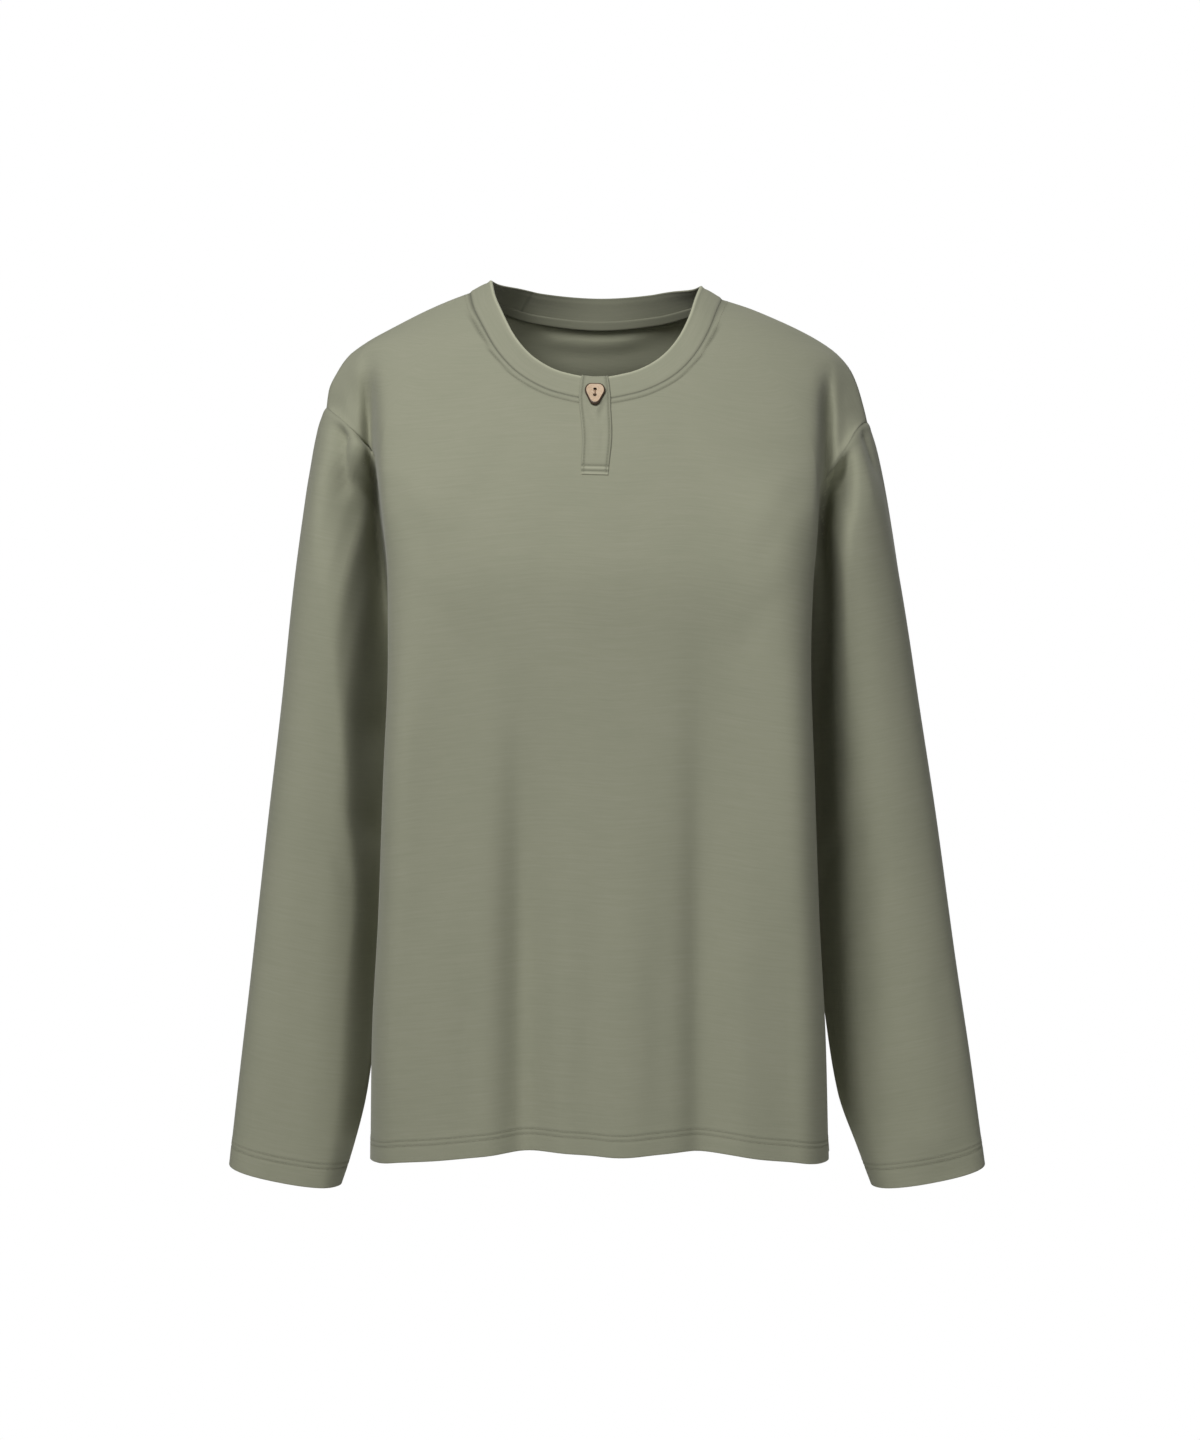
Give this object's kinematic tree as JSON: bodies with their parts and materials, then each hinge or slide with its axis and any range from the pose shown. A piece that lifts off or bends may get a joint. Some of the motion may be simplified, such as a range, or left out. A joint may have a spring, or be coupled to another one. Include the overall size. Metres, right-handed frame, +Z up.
{
  "type": "henley shirt",
  "caption": "Long-sleeved henley shirt in plain jersey, filled out as if worn, with dropped shoulders, a banded round neck, a short buttoned placket and a straight hem.",
  "frame": {"origin": "midway between the two high points of the neckband, where the wearer's shoulders carry the shirt", "axes": "+Z up along the body, -Y out of the chest, +X to the wearer's left"},
  "size_m": [0.6013, 0.245, 0.7232],
  "materials": {
    "jersey": "matt slub cotton jersey, sage green",
    "tape": "jersey tape over the back neck seam, sage green",
    "button": "polished coconut shell, tan face with a dark brown rim"
  },
  "bodies": {
    "root": {"front": "jersey", "back": "jersey", "sleeve_right": "jersey", "sleeve_left": "jersey", "neckband": "jersey", "placket_over": "jersey", "placket_under": "jersey", "neck_tape": "tape", "button": "button"}
  },
  "joints": []
}
